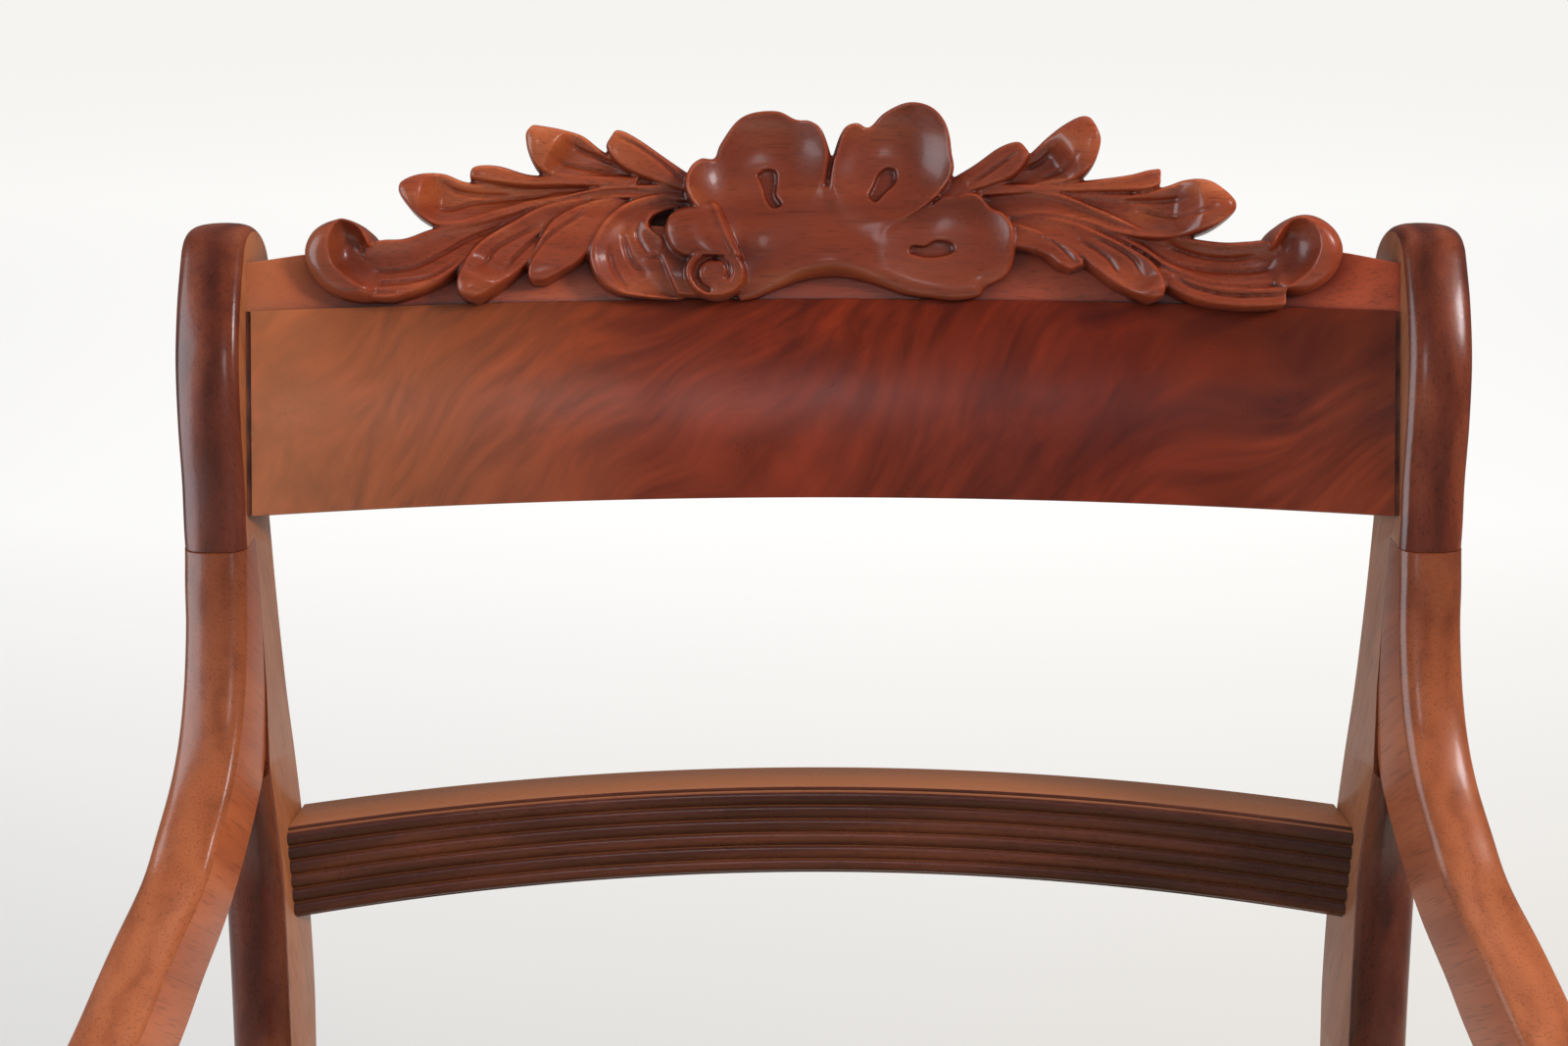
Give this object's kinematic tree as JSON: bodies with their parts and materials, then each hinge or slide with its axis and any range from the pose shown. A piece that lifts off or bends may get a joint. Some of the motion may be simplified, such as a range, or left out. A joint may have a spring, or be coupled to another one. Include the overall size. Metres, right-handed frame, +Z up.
{
  "type": "wooden open armchair",
  "caption": "Open armchair with a carved leaf crest, veneered tablet, reeded hollow mid rail, swept scrolled arms, sabre rear legs, turned front legs and a drop-in seat.",
  "frame": {"origin": "on the floor below the middle of the chair, at the centre of its footprint box", "axes": "+Z up, +Y towards the back, +X towards the sitter's left"},
  "size_m": [0.6168, 0.6419, 0.8988],
  "materials": {
    "mahogany": "french polished, glossy, aged dark red-brown",
    "arm_mahogany": "french polished, glossy, rubbed lighter along the crown",
    "carved_mahogany": "carved and french polished, dark in the hollows",
    "flame_veneer": "flame figured veneer, high gloss",
    "beech": "plain, unpolished, dusty",
    "screws": "dull, slightly rusted",
    "webbing": "woven jute, matt",
    "hessian": "coarse open weave, matt",
    "stuffing": "curled hair under linen, matt",
    "seat_cover": "closely woven wool, soft sheen",
    "dust_cover": "thin black cambric, matt"
  },
  "bodies": {
    "frame": {"rear_leg_left": "mahogany", "rear_leg_right": "mahogany", "tablet_rail": "mahogany", "tablet_veneer": "flame_veneer", "carved_crest": "carved_mahogany", "reeded_rail": "mahogany", "arm_left": "arm_mahogany", "arm_right": "arm_mahogany", "arm_support_left": "mahogany", "arm_support_right": "mahogany", "front_leg_left": "mahogany", "front_leg_right": "mahogany", "front_rail": "mahogany", "back_rail": "mahogany", "side_rail_left": "mahogany", "side_rail_right": "mahogany", "corner_block_front_left": "beech", "corner_block_front_right": "beech", "corner_block_back_left": "beech", "corner_block_back_right": "beech", "bearer_front": "beech", "bearer_back": "beech", "bearer_left": "beech", "bearer_right": "beech", "support_screws": "screws"},
    "drop_in_seat": {"seat_frame_front": "beech", "seat_frame_back": "beech", "seat_frame_left": "beech", "seat_frame_right": "beech", "webbing_lengthwise": "webbing", "webbing_crosswise": "webbing", "hessian": "hessian", "seat_stuffing": "stuffing", "seat_cover": "seat_cover", "dust_cover": "dust_cover"}
  },
  "joints": [
    {"name": "seat_lift", "type": "slide", "parent": "frame", "child": "drop_in_seat", "axis": [0, 0, 1], "range_m": [0, 0.5]}
  ]
}
